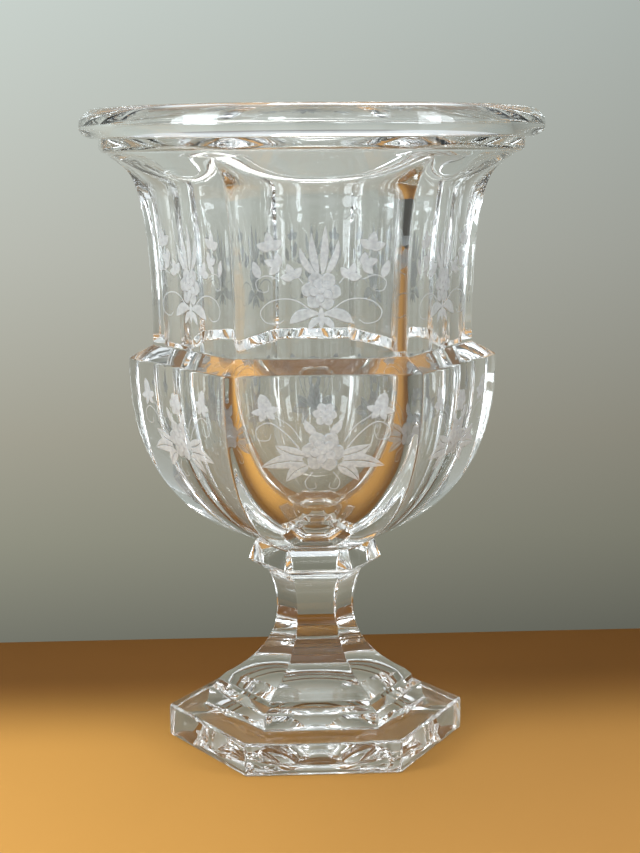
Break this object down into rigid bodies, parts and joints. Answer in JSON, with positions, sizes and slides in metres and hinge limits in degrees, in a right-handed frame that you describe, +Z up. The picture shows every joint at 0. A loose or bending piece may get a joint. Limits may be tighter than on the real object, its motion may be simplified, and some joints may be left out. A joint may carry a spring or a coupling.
{
  "type": "pedestal vase",
  "caption": "Clear crystal footed vase with a panelled hexagonal bowl, round flared rim, collar, waisted stem and stepped foot, for holding cut flowers.",
  "frame": {"origin": "middle of the foot's underside, on the surface that the vase stands on", "axes": "+Z up along the vase's axis, +X through a corner of the six-sided body, -Y out of the middle of a panel"},
  "size_m": [0.1716, 0.1716, 0.2392],
  "materials": {
    "crystal": "clear polished lead crystal, engraved flower sprays left frosted"
  },
  "bodies": {
    "root": {"foot": "crystal", "stem": "crystal", "collar": "crystal", "bowl": "crystal"}
  },
  "joints": []
}
